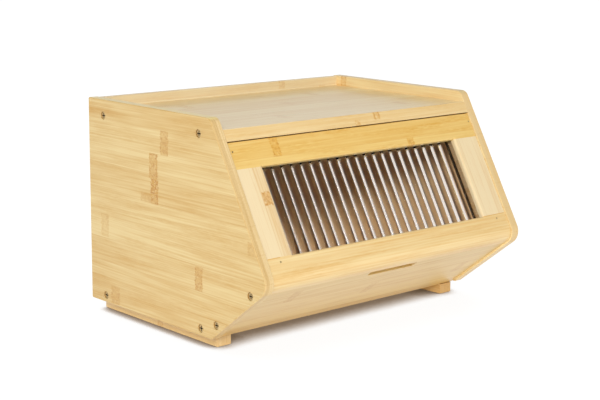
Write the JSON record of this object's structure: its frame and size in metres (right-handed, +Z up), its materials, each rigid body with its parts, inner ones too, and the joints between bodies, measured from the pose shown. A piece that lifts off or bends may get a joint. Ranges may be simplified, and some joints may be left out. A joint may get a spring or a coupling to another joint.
{
  "type": "bread box",
  "caption": "Slant-fronted bamboo bread box with a tray top, a top-hung door with a fluted clear window, a fixed undercut panel and foot rails.",
  "frame": {"origin": "on the surface that the box stands on, under the centre of the box", "axes": "+X to the right, +Y to the back, +Z up; the door faces -Y"},
  "size_m": [0.335, 0.2642, 0.2115],
  "materials": {
    "bamboo_side": "satin lacquered bamboo, laminated in level strips",
    "bamboo_board": "satin lacquered bamboo, strips along the box",
    "bamboo_door": "satin lacquered bamboo, rails and stiles",
    "clear_acrylic": "clear fluted acrylic",
    "zinc_screw": "zinc plated, cross recess",
    "steel_brad": "plain steel",
    "steel_pin": "ground steel",
    "hardwood_dowel": "plain turned hardwood"
  },
  "bodies": {
    "case": {"side_panel_left": "bamboo_side", "side_panel_right": "bamboo_side", "top_board": "bamboo_board", "back_panel": "bamboo_board", "bottom_board": "bamboo_board", "lower_front_panel": "bamboo_board", "foot_rail_left": "bamboo_board", "foot_rail_right": "bamboo_board", "top_board_screws": "zinc_screw", "bottom_board_screws": "zinc_screw", "front_panel_screws": "zinc_screw", "back_panel_screws": "zinc_screw", "foot_screws": "zinc_screw"},
    "door": {"door_top_rail": "bamboo_door", "door_bottom_rail": "bamboo_door", "door_stile_left": "bamboo_door", "door_stile_right": "bamboo_door", "window_pane": "clear_acrylic", "glazing_bead_top": "bamboo_door", "glazing_bead_bottom": "bamboo_door", "glazing_bead_left": "bamboo_door", "glazing_bead_right": "bamboo_door", "door_dowels": "hardwood_dowel", "door_brads": "steel_brad", "bead_brads": "steel_brad", "hinge_pin_left": "steel_pin", "hinge_pin_right": "steel_pin"}
  },
  "joints": [
    {"name": "door_hinge", "type": "hinge", "parent": "case", "child": "door", "pos_m": [0, -0.06567, 0.17853], "axis": [-1, 0, 0], "range_deg": [0, 98]}
  ]
}
